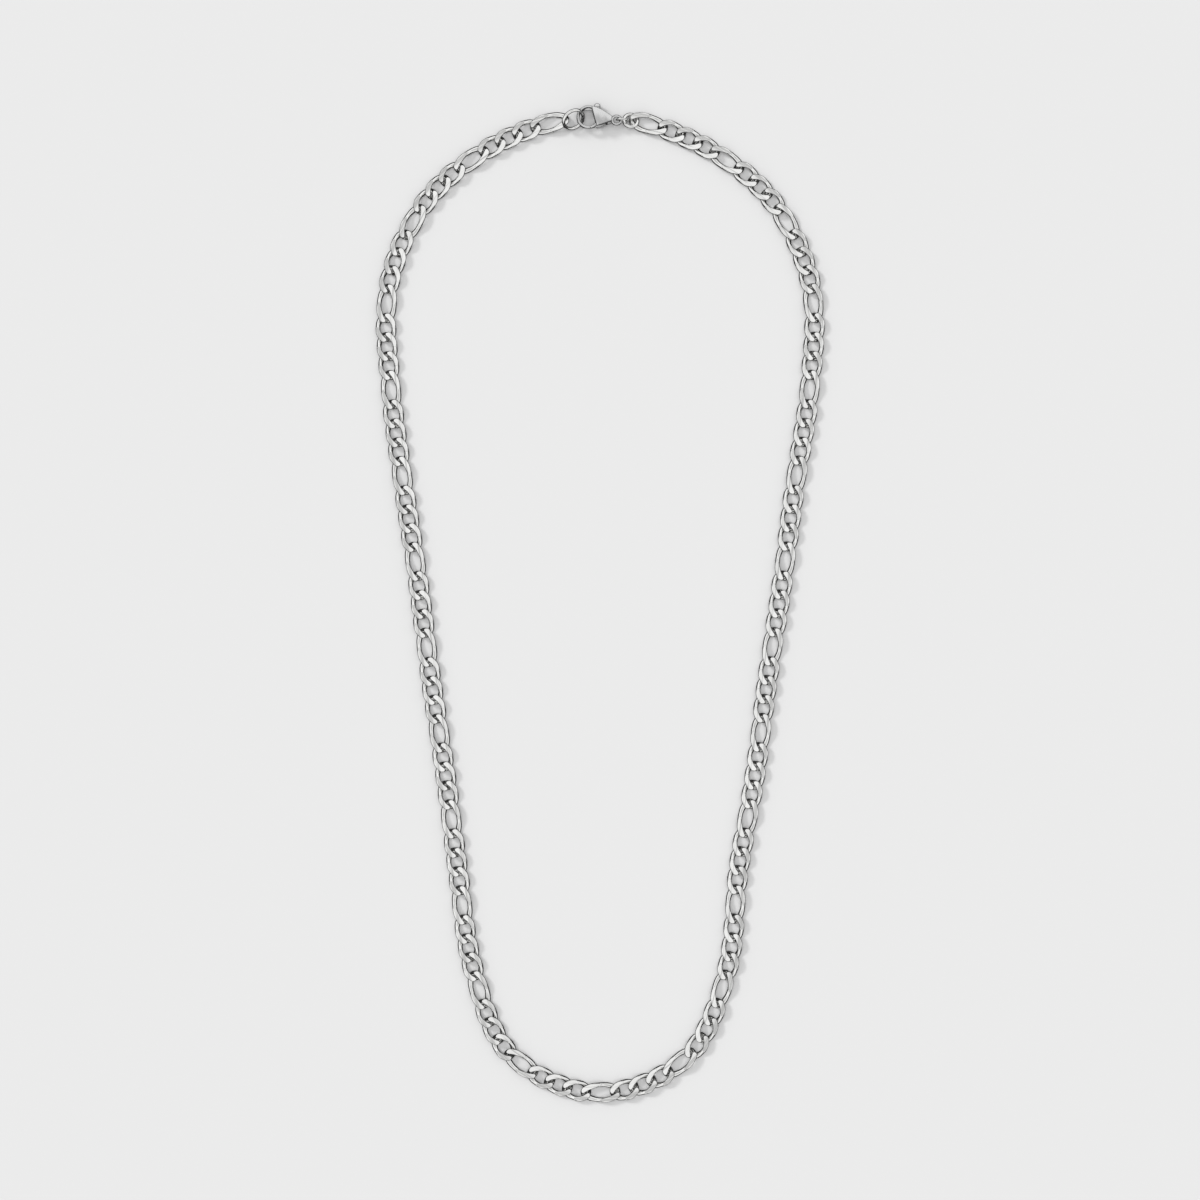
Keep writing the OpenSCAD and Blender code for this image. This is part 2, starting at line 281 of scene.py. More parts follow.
class Finishes(bpy.types.PropertyGroup):
    steel: FloatVectorProperty(
        name="Steel", description="Colour of the polished steel", default=(0.80, 0.80, 0.79),
        subtype="COLOR", min=0, max=1)
    # painted shade: the rims and bevelled edges round the flat faces get a dark steel colour, standing in for
    # the dark reflection and shade along them
    painted_shade_steel: FloatVectorProperty(
        name="Edge Steel", description="Colour of the dark rims and edges round the flat faces",
        default=(0.26, 0.26, 0.26),
        subtype="COLOR", min=0, max=1)
    clasp_steel: FloatVectorProperty(
        name="Clasp Steel", description="Colour of the satin steel of the clasp", default=(0.66, 0.66, 0.66),
        subtype="COLOR", min=0, max=1)
    wire_roughness: FloatProperty(
        name="Wire Roughness", description="Roughness of the polished wire", default=0.09,
        subtype="FACTOR", min=0, max=1)
    flat_roughness: FloatProperty(
        name="Flat Roughness", description="Roughness of the ground flats", default=0.14,
        subtype="FACTOR", min=0, max=1)
    clasp_roughness: FloatProperty(
        name="Clasp Roughness", description="Roughness of the clasp's satin faces", default=0.18,
        subtype="FACTOR", min=0, max=1)


class StageSizes(bpy.types.PropertyGroup):
    view_width: FloatProperty(
        name="View Width", description="Width of the view at the surface", default=0.2856,
        subtype="DISTANCE", unit="LENGTH", min=0.1, max=1)
    view_shift: FloatVectorProperty(
        name="View Middle", description="Middle of the view on the surface", size=2,
        default=(-0.00006, 0.00059), subtype="XYZ", unit="LENGTH")
    floor_size: FloatProperty(
        name="Floor Size", description="Width of the pale floor", default=12.0,
        subtype="DISTANCE", unit="LENGTH", min=1, max=50)
    floor_colour: FloatVectorProperty(
        name="Floor Colour", description="Colour of the pale floor", default=(0.442, 0.442, 0.442),
        subtype="COLOR", min=0, max=1)
    sun: FloatProperty(
        name="Key Light", description="Strength of the slanting key light", default=2.2, min=0, max=10)
    lamp: FloatProperty(
        name="Overhead Light", description="Strength of the wide light overhead", default=1.85, min=0, max=10)
    sky: FloatProperty(
        name="Sky Light", description="Strength of the light from all round", default=1.0, min=0, max=10)


# the route and the places on it


def blend_points(a, b, c, d, t):
    """Point at share t of the way from b to c, on the smooth curve through all four."""
    return [
        0.5 * (2 * q + (r - p) * t + (2 * p - 5 * q + 4 * r - s) * t * t + (3 * q - p - 3 * r + s) * t ** 3)
        for p, q, r, s in zip(a, b, c, d)
    ]


def turned(x, y, z):
    return Euler([math.radians(a) for a in (x, y, z)]).to_matrix()


class Lie:
    """Where each link, ring and the clasp lie, worked out from the sizes in millimetres."""

    def __init__(self, scene):
        c, r, k = scene.neck_chain, scene.neck_rings, scene.neck_clasp
        self.chain, self.rings, self.clasp = c, r, k
        n = len(ROUTE)
        self.curve = [
            blend_points(ROUTE[i - 1], ROUTE[i], ROUTE[(i + 1) % n], ROUTE[(i + 2) % n], j / ROUTE_STEPS)
            for i in range(n)
            for j in range(ROUTE_STEPS)
        ]
        self.along = [0.0]
        for i, p in enumerate(self.curve):
            self.along.append(self.along[-1] + math.dist(p, self.curve[(i + 1) % len(self.curve)]))
        self.links = c.long_links + (c.long_links - 1) * c.short_links
        self.right_links = math.ceil(self.links / 2)
        end_ring_in = r.end_ring - 2 * r.end_ring_wire
        tail_ring_in = r.tail_ring - 2 * r.tail_ring_wire
        self.fastening = (
            c.play - r.end_play + end_ring_in - r.hook_play + k.hook_r - k.hook_w
            + k.reach + r.tail_step + tail_ring_in / 2 - r.tail_play
        )
        self.grow = (self.joint_s(self.links) + self.fastening) / self.along[-1]
        start, end = Vector(self.joint(self.links)), Vector(self.joint(0))
        self.turn = math.atan2(end.y - start.y, end.x - start.x)
        middle = (start + end) / 2
        end_ring_x = (c.play - self.fastening + end_ring_in) / 2 - r.end_play
        hook_x = end_ring_x + end_ring_in / 2 - r.hook_play + k.hook_r - k.hook_w
        eye_x = hook_x + k.reach
        clasp_x = (hook_x + eye_x) / 2
        self.pivot = Vector((PIVOT[0] * k.hook_r, PIVOT[1] * k.hook_r))
        self.seam_r = math.dist(PIVOT, SEAM) * k.hook_r
        self.clasp_turn = turned(-k.roll, -k.rise, k.yaw + math.degrees(self.turn))
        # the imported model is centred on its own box, so its pin gives the shift between the two
        flat = turned(-k.roll, -k.rise, k.yaw) @ Vector(
            (hook_x - clasp_x + self.pivot.x, self.pivot.y, 0))
        pin = (
            Vector((*middle, 0))
            + Matrix.Rotation(self.turn, 3, "Z") @ (Vector((clasp_x, 0, 0)) + flat)
        )
        self.pin_at = node_middle("lever_pin")
        self.shift = Vector((self.pin_at.x - pin.x, self.pin_at.y - pin.y))

    def is_long(self, k):
        """One long link, some short ones, and so on, with a long one at each end."""
        return k % (self.chain.short_links + 1) == 0

    def joint_s(self, k):
        """Length of the chain from its start to the start of link k."""
        c = self.chain
        longs = (k + c.short_links) // (c.short_links + 1)
        return longs * (c.long_hole - c.play) + (k - longs) * (c.short_hole - c.play)

    def joint(self, k):
        """Point of the route at the start of link k."""
        s = (self.fastening / 2 + self.joint_s(k)) / self.grow
        i = max(j for j, a in enumerate(self.along) if a <= s)
        t = (s - self.along[i]) / (self.along[i + 1] - self.along[i])
        a, b = self.curve[i % len(self.curve)], self.curve[(i + 1) % len(self.curve)]
        return tuple(self.grow * (p + (q - p) * t) for p, q in zip(a, b))

    def link_matrix(self, k):
        """Place of link k, in metres, with a small roll of its own."""
        a, b = Vector(self.joint(k)) + self.shift, Vector(self.joint(k + 1)) + self.shift
        turn = math.atan2(b.y - a.y, b.x - a.x)
        roll = math.radians(self.chain.lie) * math.sin(2.4 * k + 0.7 * math.sin(1.7 * k))
        at = Vector((*((a + b) / 2), self.chain.thickness / 2)) * MM
        return Matrix.Translation(at) @ Matrix.Rotation(turn, 4, "Z") @ Matrix.Rotation(roll, 4, "X")

    def clasp_matrix(self):
        """Place of the clasp, drawn flat in millimetres about the hook's middle."""
        turn = self.clasp_turn
        at = self.pin_at * MM - turn @ Vector((*self.pivot, 0)) * MM
        return Matrix.Translation(at) @ turn.to_4x4() @ Matrix.Scale(MM, 4)

    def ring_matrix(self, node, lean, fall, yaw):
        """Place of a ring, drawn flat in millimetres about its middle."""
        turn = turned(lean, fall, yaw + math.degrees(self.turn))
        return Matrix.Translation(node_middle(node) * MM) @ turn.to_4x4() @ Matrix.Scale(MM, 4)


def node_middle(node):
    low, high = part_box(node)
    return (Vector(low) + Vector(high)) / 2 / MM


# modelling by hand, in code


def deselect():
    if bpy.context.object and bpy.context.object.mode != "OBJECT":
        bpy.ops.object.mode_set(mode="OBJECT")
    bpy.ops.object.select_all(action="DESELECT")


def only(obj, *others):
    deselect()
    for o in (obj, *others):
        o.select_set(True)
    bpy.context.view_layer.objects.active = obj


def edit(obj, select=True):
    only(obj)
    bpy.ops.object.mode_set(mode="EDIT")
    bpy.ops.mesh.select_all(action="SELECT" if select else "DESELECT")


def leave_edit():
    bpy.ops.object.mode_set(mode="OBJECT")


def name_it(obj, name):
    obj.name = name
    obj.data.name = name
    return obj


def place(obj, matrix):
    """Puts the piece at its place and leaves the object itself at the origin."""
    only(obj)
    obj.matrix_world = matrix
    bpy.ops.object.transform_apply(location=True, rotation=True, scale=True)
    return obj


def cut_away(obj, point, normal):
    """Cuts off what lies outside that plane and closes the cut."""
    edit(obj)
    bpy.ops.mesh.bisect(plane_co=point, plane_no=normal, use_fill=True, clear_outer=True)
    leave_edit()


def plate(name, outline, low, high):
    """Flat piece with that outline, drawn from a round disc by moving its corners."""
    deselect()
    bpy.ops.mesh.primitive_circle_add(vertices=len(outline), radius=1, fill_type="NGON")
    obj = bpy.context.object
    for v, (x, y) in zip(obj.data.vertices, outline):
        v.co = (x, y, low)
    edit(obj)
    bpy.ops.mesh.extrude_region_move(TRANSFORM_OT_translate={"value": (0, 0, high - low)})
    bpy.ops.mesh.select_all(action="SELECT")
    bpy.ops.mesh.normals_make_consistent(inside=False)
    leave_edit()
    return name_it(obj, name)


def scaled(points, r):
    return [(x * r, y * r) for x, y in points]


def round_bar(name, at, r, low, high, sides=32):
    deselect()
    bpy.ops.mesh.primitive_cylinder_add(
        vertices=sides, radius=r, depth=high - low, location=(at[0], at[1], (low + high) / 2))
    obj = bpy.context.object
    bpy.ops.object.transform_apply(location=True, rotation=True, scale=True)
    return name_it(obj, name)


def paint(obj, *steels):
    """Gives the object one material slot for each finish named."""
    for steel in steels:
        obj.data.materials.append(finish(steel))


def soften(obj, width, angle=30.0, material=-1):
    """Rounds the sharp edges, in a material of their own where one is given."""
    only(obj)
    m = obj.modifiers.new("soft_edges", "BEVEL")
    m.width, m.segments = width, 2
    m.limit_method, m.angle_limit = "ANGLE", math.radians(angle)
    m.material = material
    m.harden_normals = False
    bpy.ops.object.modifier_apply(modifier=m.name)
    return obj


def combine(obj, other, operation):
    only(obj)
    m = obj.modifiers.new("combine", "BOOLEAN")
    m.operation, m.object, m.solver = operation, other, "EXACT"
    bpy.ops.object.modifier_apply(modifier=m.name)
    bpy.data.objects.remove(other, do_unlink=True)
    return obj


def clean(obj, angle=35.0, gap=1e-4):
    """Merges doubles, turns the faces outwards and shades smoothly up to that angle."""
    edit(obj)
    bpy.ops.mesh.remove_doubles(threshold=gap)
    bpy.ops.mesh.dissolve_degenerate(threshold=gap)
    bpy.ops.mesh.select_all(action="SELECT")
    bpy.ops.mesh.normals_make_consistent(inside=False)
    leave_edit()
    only(obj)
    bpy.ops.object.shade_smooth_by_angle(angle=math.radians(angle))
    return obj


def finish_piece(obj, body, node):
    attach(obj, body)
    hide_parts(node)
    deselect()


# finishes


def noise(tree, where, scale, detail):
    node = tree.nodes.new("ShaderNodeTexNoise")
    node.inputs["Scale"].default_value = scale
    node.inputs["Detail"].default_value = detail
    tree.links.new(where, node.inputs["Vector"])
    return node.outputs["Fac"]


def carried_over(tree, value, old, new):
    """The value, carried over from the old range to the new one."""
    node = tree.nodes.new("ShaderNodeMapRange")
    for socket, end in zip(("From Min", "From Max", "To Min", "To Max"), (*old, *new)):
        node.inputs[socket].default_value = end
    tree.links.new(value, node.inputs["Value"])
    return node.outputs["Result"]


def new_steel(name, colour, roughness, streak, grain, grain_depth, streak_turn=0.0):
    """Steel with slow changes of tone, and a fine grain in its gloss and relief, drawn out one way."""
    m = bpy.data.materials.new(name)
    m.use_nodes = True
    tree = m.node_tree
    nodes, links = tree.nodes, tree.links
    nodes.clear()
    out = nodes.new("ShaderNodeOutputMaterial")
    steel = nodes.new("ShaderNodeBsdfPrincipled")
    steel.inputs["Metallic"].default_value = 1.0
    links.new(steel.outputs["BSDF"], out.inputs["Surface"])
    where = nodes.new("ShaderNodeTexCoord").outputs["Object"]

    shades = nodes.new("ShaderNodeValToRGB")
    for e, at, share in zip(shades.color_ramp.elements, NOISE_RANGE, TONES):
        e.position = at
        e.color = (*[min(1.0, c * share) for c in colour], 1)
    links.new(noise(tree, where, TONE_FINENESS, 2), shades.inputs["Fac"])
    links.new(shades.outputs["Color"], steel.inputs["Base Color"])

    turn = nodes.new("ShaderNodeMapping")
    turn.inputs["Rotation"].default_value = (0, 0, math.radians(streak_turn))
    turn.inputs["Scale"].default_value = (streak, 1, 1)
    links.new(where, turn.inputs["Vector"])
    lines = noise(tree, turn.outputs["Vector"], grain, 3)
    gloss = carried_over(tree, lines, NOISE_RANGE, [roughness * share for share in GLOSS])
    links.new(gloss, steel.inputs["Roughness"])
    bump = nodes.new("ShaderNodeBump")
    bump.inputs["Strength"].default_value = 1.0
    bump.inputs["Distance"].default_value = grain_depth
    links.new(lines, bump.inputs["Height"])
    links.new(bump.outputs["Normal"], steel.inputs["Normal"])
    return m


def finish(name):
    """The finish of that name, made the first time that it is asked for."""
    if name in bpy.data.materials:
        return bpy.data.materials[name]
    f = bpy.context.scene.neck_finishes
    steel, satin = tuple(f.steel), tuple(f.clasp_steel)
    # after the gloss: how far the grain is drawn out, how fine and how deep it is, and its turn
    return {
        "polished_wire": lambda: new_steel(name, steel, f.wire_roughness, 1, 9000, 2e-7),
        "ground_flat": lambda: new_steel(name, steel, f.flat_roughness, 6, 5000, 4e-7, 35),
        # painted shade: steel coloured dark for rims and bevelled edges, in place of the dark reflection
        # along them
        "dark_edge": lambda: new_steel(name, tuple(f.painted_shade_steel), f.flat_roughness, 1, 9000, 2e-7),
        "ring_wire": lambda: new_steel(name, steel, f.wire_roughness, 1, 9000, 2e-7),
        "clasp_satin": lambda: new_steel(name, satin, f.clasp_roughness, 5, 6000, 4e-7, -20),
        "lever_satin": lambda: new_steel(name, satin, f.clasp_roughness, 5, 6000, 4e-7, 60),
        "pin_steel": lambda: new_steel(name, satin, f.clasp_roughness, 2, 8000, 3e-7),
    }[name]()


# the chain


def bend_wire(name, points, wire, corners, pressed):
    """Closed ring of round wire through those points, wider where they rise and fall the most."""
    highest = max(p.z for p in points)
    deselect()
    bpy.ops.curve.primitive_bezier_circle_add(radius=1)
    obj = bpy.context.object
    bpy.ops.object.mode_set(mode="EDIT")
    bpy.ops.curve.select_all(action="SELECT")
    bpy.ops.curve.subdivide(number_cuts=len(points) // 4 - 1)
    bpy.ops.curve.spline_type_set(type="POLY")
    leave_edit()
    spline = obj.data.splines[0]
    for p, co in zip(spline.points, points):
        p.co = (*co, 1)
        p.radius = 1 + pressed * min(1.0, max(0.0, 2 * abs(co.z) / highest - 0.8))
    obj.data.dimensions = "3D"
    obj.data.twist_mode = "MINIMUM"
    obj.data.bevel_depth = wire / 2
    obj.data.bevel_resolution = (corners - 4) // 2
    only(obj)
    bpy.ops.object.convert(target="MESH")
    return name_it(bpy.context.object, name)


def root(v, squareness):
    """Pushes a sine or a cosine outwards, which squares the oval that they draw."""
    return math.copysign(abs(v) ** (2 / squareness), v)


def oval_point(t, a, b, twist, squareness):
    """Point at angle t of an oval that is twisted about its length."""
    x = root(math.cos(t), squareness)
    y = b * root(math.sin(t), squareness)
    p = -math.radians(twist) * x
    return Vector((a * x, y * math.cos(p), y * math.sin(p)))


def even_oval(count, a, b, twist, squareness):
    """Points at even distances round the twisted oval."""
    fine = [oval_point(2 * math.pi * i / 720, a, b, twist, squareness) for i in range(721)]
    run = [0.0]
    for p, q in zip(fine, fine[1:]):
        run.append(run[-1] + (q - p).length)
    points, i = [], 0
    for n in range(count):
        s = run[-1] * n / count
        while run[i + 1] < s:
            i += 1
        points.append(fine[i].lerp(fine[i + 1], (s - run[i]) / (run[i + 1] - run[i])))
    return points


def grinding_block(sizes, half, reach, steps=10):
    """What the grinding leaves: a slab along the chain with a slightly domed top and bottom."""
    def height(y):
        return half - sizes.dome + math.sqrt(sizes.dome ** 2 - y ** 2)

    # a little more than half a link's width to each side
    across = [sizes.link_width * 0.6 * i / steps for i in range(-steps, steps + 1)]
    outline = [(height(y), y) for y in across] + [(-height(y), y) for y in reversed(across)]
    block = plate("grinding_block", outline, -reach, reach)
    return place(block, Matrix.Rotation(math.radians(-90), 4, "Y"))


def raise_flats(link, sizes, half):
    """Lifts a smaller flat out of each ground face, and so leaves a sloping rim round it."""
    axis_depth = sizes.dome - half
    # the faces to lift are those that lie on the dome and look nearly straight up or down
    for f in link.data.polygons:
        from_axis = math.hypot(abs(f.center.z) + axis_depth, f.center.y)
        f.select = abs(from_axis - sizes.dome) < 0.01 and abs(f.normal.z) > 0.97
        f.material_index = 1 if f.select else 0
    only(link)
    bpy.context.tool_settings.mesh_select_mode = (False, False, True)
    bpy.ops.object.mode_set(mode="EDIT")
    bpy.ops.mesh.inset(thickness=sizes.edge, depth=sizes.edge_fall, use_even_offset=True)
    leave_edit()


def fade_flats(link, sizes):
    """Lowers the thin end of each raised flat, so that it runs out into the round wire."""
    raised = {v for f in link.data.polygons if f.select for v in f.vertices}
    # how far each point lies from the link's middle, towards the wide end of its flat
    along = {}
    for v in raised:
        co = link.data.vertices[v].co
        along[v] = co.x * math.copysign(1, co.x if abs(co.x) > 1 else -co.y * co.z)
    thin_end = min(along.values())
    for v, x in along.items():
        co = link.data.vertices[v].co
        low = max(0.0, 1 - (x - thin_end) / sizes.fade)
        co.z -= math.copysign(sizes.edge_fall * low, co.z)
    # the sloping rims take the third finish, steel painted dark as shade along the flats' edges
    for f in link.data.polygons:
        if f.material_index == 1 and not f.select and abs(f.normal.z) < 0.9:
            f.material_index = 2


def make_link(name, hole, width, count, sizes):
    """One link: a ring of wire, twisted, with its top and bottom ground flat."""
    a = (hole + sizes.wire) / 2
    b = (width - sizes.wire) / 2
    points = even_oval(count, a, b, sizes.twist, sizes.squareness)
    link = clean(bend_wire(name, points, sizes.wire, WIRE_SIDES, sizes.pressed))
    half = sizes.thickness / 2 - sizes.grind - sizes.edge_fall
    combine(link, grinding_block(sizes, half, a + sizes.wire), "INTERSECT")
    # the third finish is painted shade for the rims round the flats
    paint(link, "polished_wire", "ground_flat", "dark_edge")
    raise_flats(link, sizes, half)
    fade_flats(link, sizes)
    return clean(link, SHARP)


class NECK_OT_links(bpy.types.Operator):
    """Bends a short and a long link and lays a copy of them at each place of the chain"""

    bl_idname = "neck.links"
    bl_label = "Chain Links"

    def execute(self, context):
        lie = Lie(context.scene)
        sizes = lie.chain
        short = make_link("short_link", sizes.short_hole, sizes.link_width, SHORT_POINTS, sizes)
        long = make_link("long_link", sizes.long_hole, sizes.long_width, LONG_POINTS, sizes)
        for link in (short, long):
            place(link, Matrix.Scale(MM, 4))
        halves = {
            "chain_right": range(0, lie.right_links),
            "chain_left": range(lie.right_links, lie.links),
        }
        for node, run in halves.items():
            laid = []
            for k in run:
                pattern = long if lie.is_long(k) else short
                link = pattern.copy()
                link.data = pattern.data.copy()
                context.collection.objects.link(link)
                link.name = f"{node}_link_{k}"
                link.matrix_world = lie.link_matrix(k)
                laid.append(link)
            only(*laid)
            bpy.ops.object.transform_apply(location=True, rotation=True, scale=True)
            bpy.ops.object.join()
            half = name_it(context.object, f"{node}_links")
            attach(half, "chain")
            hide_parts(node)
        for link in (short, long):
            bpy.data.objects.remove(link, do_unlink=True)
        deselect()
        return {"FINISHED"}


# the rings


def make_ring(name, outer, wire, cut, cut_at):
    """Round ring bent from wire, with a fine bevel round the wire at its closed joint."""
    deselect()
    r = (outer - wire) / 2
    bpy.ops.mesh.primitive_torus_add(
        major_segments=72, minor_segments=20, major_radius=r, minor_radius=wire / 2)
    obj = name_it(bpy.context.object, name)
    cut_turn = math.radians(cut_at)
    place(obj, Matrix.Rotation(cut_turn, 4, "Z"))
    edit(obj, select=False)
    bpy.ops.mesh.select_mode(type="VERT")
    leave_edit()
    way = Vector((math.cos(cut_turn), math.sin(cut_turn), 0))
    for v in obj.data.vertices:
        flat = Vector((v.co.x, v.co.y, 0))
        v.select = flat.normalized().dot(way) > math.cos(math.radians(1))
    only(obj)
    bpy.ops.object.mode_set(mode="EDIT")
    bpy.ops.mesh.bevel(offset=cut, segments=2, affect="EDGES")
    leave_edit()
    return obj


class NECK_OT_rings(bpy.types.Operator):
    """Bends the end ring, the tail ring and the small jump ring"""

    bl_idname = "neck.rings"
    bl_label = "Rings"

    def execute(self, context):
        lie = Lie(context.scene)
        r = lie.rings
        end_turn = (r.end_ring_lean, r.end_ring_fall, r.end_ring_turn)
        tail_turn = (-r.tail_ring_lean, r.tail_ring_rise, r.tail_ring_turn)
        # the last number says where round the ring its joint is, in degrees
        rings = [
            ("end_ring", r.end_ring, r.end_ring_wire, end_turn, 118),
            ("tail_ring", r.tail_ring, r.tail_ring_wire, tail_turn, 65),
            ("jump_ring", r.jump_ring, r.jump_ring_wire, (90, 0, r.jump_ring_turn), 200),
        ]
        for node, outer, wire, turn, cut_at in rings:
            ring = make_ring(f"{node}_wire", outer, wire, r.joint_cut, cut_at)
            place(ring, lie.ring_matrix(node, *turn))
            clean(ring, gap=1e-7)
            paint(ring, "ring_wire")
            finish_piece(ring, "chain", node)
        return {"FINISHED"}


# the clasp


def band(name, clasp, thick, part):
    """What lies inside that outline of a flat ring with round edges, round the hook's middle."""
    deselect()
    half = clasp.hook_w / 2
    middle = clasp.hook_r - half
    bpy.ops.mesh.primitive_torus_add(
        major_segments=112, minor_segments=32, major_radius=middle, minor_radius=half)
    ring = name_it(bpy.context.object, name)
    for v in ring.data.vertices:
        from_axis = math.hypot(v.co.x, v.co.y)
        out, up = (root(a / half, BAND_SQUARENESS) for a in (from_axis - middle, v.co.z))
        v.co.x *= (middle + half * out) / from_axis
        v.co.y *= (middle + half * out) / from_axis
        v.co.z = thick / 2 * up
    block = plate("band_part", scaled(part, clasp.hook_r), -THROUGH, THROUGH)
    return combine(ring, block, "INTERSECT")


def slope_faces(obj, clasp):
    """Cuts both faces of the piece down along the cheeks' slope towards the tail."""
    start = SLOPE_START * clasp.hook_r
    fall = math.atan2((clasp.body_t - clasp.tail_t) / 2, clasp.reach - start)
    for side in (-1, 1):
        cut_away(obj, (start, 0, side * clasp.body_t / 2), (math.sin(fall), 0, side * math.cos(fall)))


class NECK_OT_clasp_body(bpy.types.Operator):
    """Shapes the clasp's hook, its two cheeks and the eye at its tail"""

    bl_idname = "neck.clasp_body"
    bl_label = "Clasp Body"

    def execute(self, context):
        lie = Lie(context.scene)
        c = lie.clasp
        r = c.hook_r
        hook = band("hook", c, c.root_t, HOOK_PART)
        for v in hook.data.vertices:
            along = max(-1.0, min(1.0, v.co.y / r))
            v.co.z *= (c.tip_t + (c.root_t - c.tip_t) * (along + 1) / 2) / c.root_t
        clean(hook)
        tip_cut = round_bar("tip_cut", lie.pivot, lie.seam_r + c.lever_gap / 2, -THROUGH, THROUGH, 96)
        combine(hook, tip_cut, "DIFFERENCE")

        tail_end = c.reach - 0.8 * c.eye_r
        outline = [
            *scaled(CHEEK_TOP, r), (0.68 * c.reach, 1.24), (tail_end, 0.65),
            (tail_end, -0.5), (0.66 * c.reach, -1.15), *scaled(CHEEK_FOOT, r),
        ]
        cheeks = plate("cheeks", outline, -c.body_t / 2, c.body_t / 2)
        slope_faces(cheeks, c)
        # the cheeks' bevelled edges take the second finish, steel painted dark as shade along the outline
        paint(cheeks, "clasp_satin", "dark_edge")
        soften(cheeks, c.cheek_edge, angle=25, material=1)
        slot_end = 0.7 * c.reach
        slot_half = c.lever_t / 2 + c.lever_gap
        slot = plate(
            "slot",
            [(0.27 * r, 1.2 * r), (slot_end, 3), (slot_end, -3), (-r, -1.2 * r), (0.27 * r, 0.6 * r)],
            -slot_half, slot_half)
        combine(cheeks, slot, "DIFFERENCE")

        deselect()
        middle = (c.eye_r + c.eye_hole_r) / 2
        half = (c.eye_r - c.eye_hole_r) / 2
        bpy.ops.mesh.primitive_torus_add(
            major_segments=48, minor_segments=16, major_radius=middle, minor_radius=half)
        eye = name_it(context.object, "eye")
        place(eye, Matrix.Translation((c.reach, 0, 0)) @ Matrix.Diagonal((1, 1, c.eye_t / 2 / half, 1)))

        body = combine(cheeks, hook, "UNION")
        combine(body, eye, "UNION")
        combine(body, round_bar("pin_bore", lie.pivot, c.pin_r, -THROUGH, THROUGH), "DIFFERENCE")
        name_it(body, "clasp_body_steel")
        clean(body, SHARP)
        place(body, lie.clasp_matrix())
        finish_piece(body, "chain", "clasp_body")
        return {"FINISHED"}


class NECK_OT_clasp_lever(bpy.types.Operator):
    """Shapes the lever, with its gate, its arm and its thumb piece, and the pin that it turns on"""

    bl_idname = "neck.clasp_lever"
    bl_label = "Clasp Lever"

    def execute(self, context):
        lie = Lie(context.scene)
        c = lie.clasp
        r = c.hook_r
        half = c.lever_t / 2
        gate = clean(band("gate", c, c.lever_t, GATE_PART))
        gate_cut = round_bar("gate_cut", lie.pivot, lie.seam_r - c.lever_gap / 2, -THROUGH, THROUGH, 96)
        combine(gate, gate_cut, "INTERSECT")
        arm = soften(plate("arm", scaled(ARM, r), -half, half), c.lever_edge, angle=40)
        boss = soften(round_bar("boss", lie.pivot, BOSS_R * r, -half, half, 40), c.lever_edge)
        thumb = round_bar("thumb", (THUMB[0] * r, THUMB[1] * r), THUMB_R * r, -half, half, 40)
        # the thumb piece's bevel takes the second finish, steel painted dark as shade along its edge
        for piece in (arm, thumb):
            paint(piece, "lever_satin", "dark_edge")
        soften(thumb, c.thumb_edge, material=1)
        lever = combine(arm, boss, "UNION")
        combine(lever, thumb, "UNION")
        combine(lever, gate, "UNION")
        bore = round_bar("lever_bore", lie.pivot, c.pin_r + c.pin_play, -THROUGH, THROUGH)
        combine(lever, bore, "DIFFERENCE")
        name_it(lever, "clasp_lever_steel")
        clean(lever, SHARP)
        place(lever, lie.clasp_matrix())
        finish_piece(lever, "lever", "clasp_lever")

        pin = round_bar("lever_pin_steel", lie.pivot, c.pin_r, -c.body_t / 2, c.body_t / 2)
        slope_faces(pin, c)
        clean(pin, SHARP)
        place(pin, lie.clasp_matrix())
        paint(pin, "pin_steel")
        finish_piece(pin, "chain", "lever_pin")
        return {"FINISHED"}


# the stage


def new_floor_paint(colour):
    m = bpy.data.materials.new("pale_floor")
    m.use_nodes = True
    matt = m.node_tree.nodes["Principled BSDF"]
    matt.inputs["Base Color"].default_value = (*colour, 1)
    matt.inputs["Roughness"].default_value = 1.0
    matt.inputs["Specular IOR Level"].default_value = 0.0
    return m


def facing(tree, direction, way):
    """How much the direction faces that way, from -1 to 1."""
    node = tree.nodes.new("ShaderNodeVectorMath")
    node.operation = "DOT_PRODUCT"
    node.inputs[1].default_value = way
    tree.links.new(direction, node.inputs[0])
    return node.outputs["Value"]


def mixed(tree, how, a, b):
    node = tree.nodes.new("ShaderNodeMix")
    node.data_type, node.blend_type = "RGBA", how
    node.inputs["Factor"].default_value = 1.0
    tree.links.new(a, node.inputs["A"])
    tree.links.new(b, node.inputs["B"])
    return node.outputs["Result"]


